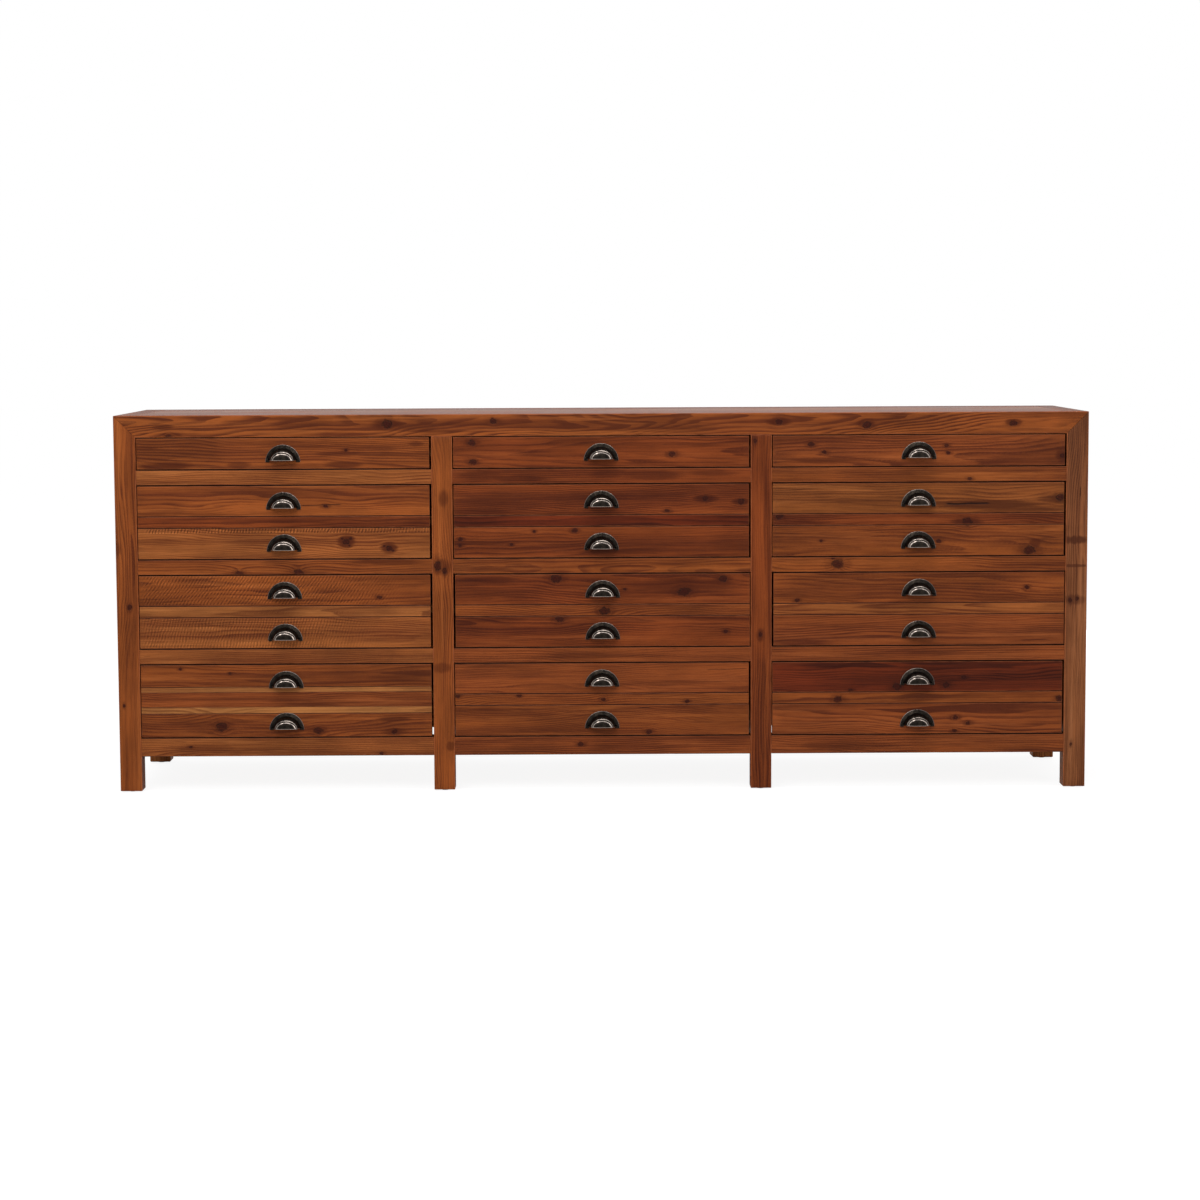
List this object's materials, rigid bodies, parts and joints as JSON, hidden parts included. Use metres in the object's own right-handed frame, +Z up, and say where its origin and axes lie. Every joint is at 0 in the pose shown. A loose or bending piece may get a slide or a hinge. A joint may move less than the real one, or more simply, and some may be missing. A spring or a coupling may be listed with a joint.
{
  "type": "chest of drawers",
  "caption": "Long low apothecary chest in reclaimed softwood: a jointed frame on legs, flush drawers in columns, half-round cup pulls.",
  "frame": {"origin": "on the floor, at the middle of the whole chest's plan, pulls included", "axes": "+X along the front to the right, +Y from the front to the back, +Z up"},
  "size_m": [2.18, 0.505, 0.85],
  "materials": {
    "top_wood": "waxed reclaimed pine, honey to red-brown",
    "frame_wood": "waxed reclaimed pine, honey to red-brown",
    "drawer_front_wood": "waxed reclaimed pine with knots and saw marks",
    "drawer_box_wood": "plain sawn pine",
    "panel_wood": "waxed reclaimed pine",
    "inner_wood": "plain sawn pine",
    "pull_metal": "antique dark pewter, worn bright on the ridges",
    "screw_steel": "plain steel",
    "glide_plastic": "dark moulded plastic"
  },
  "bodies": {
    "carcass": {"back_panel_screws": "screw_steel", "back_panels": "panel_wood", "bottom_front_rails": "frame_wood", "bottom_rear_rail": "frame_wood", "bottom_side_rails": "frame_wood", "drawer_rails": "frame_wood", "drawer_runners": "inner_wood", "front_left_post": "frame_wood", "front_middle_left_post": "frame_wood", "front_middle_right_post": "frame_wood", "front_right_post": "frame_wood", "left_partition": "inner_wood", "left_side_panel": "panel_wood", "leg_glides": "glide_plastic", "rear_left_post": "frame_wood", "rear_right_post": "frame_wood", "rear_stiles": "frame_wood", "right_partition": "inner_wood", "right_side_panel": "panel_wood", "top_battens": "inner_wood", "top_boards": "top_wood", "top_front_rail": "top_wood", "top_rear_rail": "top_wood", "top_side_rails": "top_wood"},
    "drawer_left_1": {"drawer_left_1_front": "drawer_front_wood", "drawer_left_1_box": "drawer_box_wood", "drawer_left_1_pulls": "pull_metal"},
    "drawer_left_2": {"drawer_left_2_front": "drawer_front_wood", "drawer_left_2_box": "drawer_box_wood", "drawer_left_2_pulls": "pull_metal"},
    "drawer_left_3": {"drawer_left_3_front": "drawer_front_wood", "drawer_left_3_box": "drawer_box_wood", "drawer_left_3_pulls": "pull_metal"},
    "drawer_left_4": {"drawer_left_4_front": "drawer_front_wood", "drawer_left_4_box": "drawer_box_wood", "drawer_left_4_pulls": "pull_metal"},
    "drawer_middle_1": {"drawer_middle_1_front": "drawer_front_wood", "drawer_middle_1_box": "drawer_box_wood", "drawer_middle_1_pulls": "pull_metal"},
    "drawer_middle_2": {"drawer_middle_2_front": "drawer_front_wood", "drawer_middle_2_box": "drawer_box_wood", "drawer_middle_2_pulls": "pull_metal"},
    "drawer_middle_3": {"drawer_middle_3_front": "drawer_front_wood", "drawer_middle_3_box": "drawer_box_wood", "drawer_middle_3_pulls": "pull_metal"},
    "drawer_middle_4": {"drawer_middle_4_front": "drawer_front_wood", "drawer_middle_4_box": "drawer_box_wood", "drawer_middle_4_pulls": "pull_metal"},
    "drawer_right_1": {"drawer_right_1_front": "drawer_front_wood", "drawer_right_1_box": "drawer_box_wood", "drawer_right_1_pulls": "pull_metal"},
    "drawer_right_2": {"drawer_right_2_front": "drawer_front_wood", "drawer_right_2_box": "drawer_box_wood", "drawer_right_2_pulls": "pull_metal"},
    "drawer_right_3": {"drawer_right_3_front": "drawer_front_wood", "drawer_right_3_box": "drawer_box_wood", "drawer_right_3_pulls": "pull_metal"},
    "drawer_right_4": {"drawer_right_4_front": "drawer_front_wood", "drawer_right_4_box": "drawer_box_wood", "drawer_right_4_pulls": "pull_metal"}
  },
  "joints": [
    {"name": "drawer_left_1_slide", "type": "slide", "parent": "carcass", "child": "drawer_left_1", "axis": [0, -1, 0], "range_m": [0, 0.3]},
    {"name": "drawer_left_2_slide", "type": "slide", "parent": "carcass", "child": "drawer_left_2", "axis": [0, -1, 0], "range_m": [0, 0.3]},
    {"name": "drawer_left_3_slide", "type": "slide", "parent": "carcass", "child": "drawer_left_3", "axis": [0, -1, 0], "range_m": [0, 0.3]},
    {"name": "drawer_left_4_slide", "type": "slide", "parent": "carcass", "child": "drawer_left_4", "axis": [0, -1, 0], "range_m": [0, 0.3]},
    {"name": "drawer_middle_1_slide", "type": "slide", "parent": "carcass", "child": "drawer_middle_1", "axis": [0, -1, 0], "range_m": [0, 0.3]},
    {"name": "drawer_middle_2_slide", "type": "slide", "parent": "carcass", "child": "drawer_middle_2", "axis": [0, -1, 0], "range_m": [0, 0.3]},
    {"name": "drawer_middle_3_slide", "type": "slide", "parent": "carcass", "child": "drawer_middle_3", "axis": [0, -1, 0], "range_m": [0, 0.3]},
    {"name": "drawer_middle_4_slide", "type": "slide", "parent": "carcass", "child": "drawer_middle_4", "axis": [0, -1, 0], "range_m": [0, 0.3]},
    {"name": "drawer_right_1_slide", "type": "slide", "parent": "carcass", "child": "drawer_right_1", "axis": [0, -1, 0], "range_m": [0, 0.3]},
    {"name": "drawer_right_2_slide", "type": "slide", "parent": "carcass", "child": "drawer_right_2", "axis": [0, -1, 0], "range_m": [0, 0.3]},
    {"name": "drawer_right_3_slide", "type": "slide", "parent": "carcass", "child": "drawer_right_3", "axis": [0, -1, 0], "range_m": [0, 0.3]},
    {"name": "drawer_right_4_slide", "type": "slide", "parent": "carcass", "child": "drawer_right_4", "axis": [0, -1, 0], "range_m": [0, 0.3]}
  ]
}
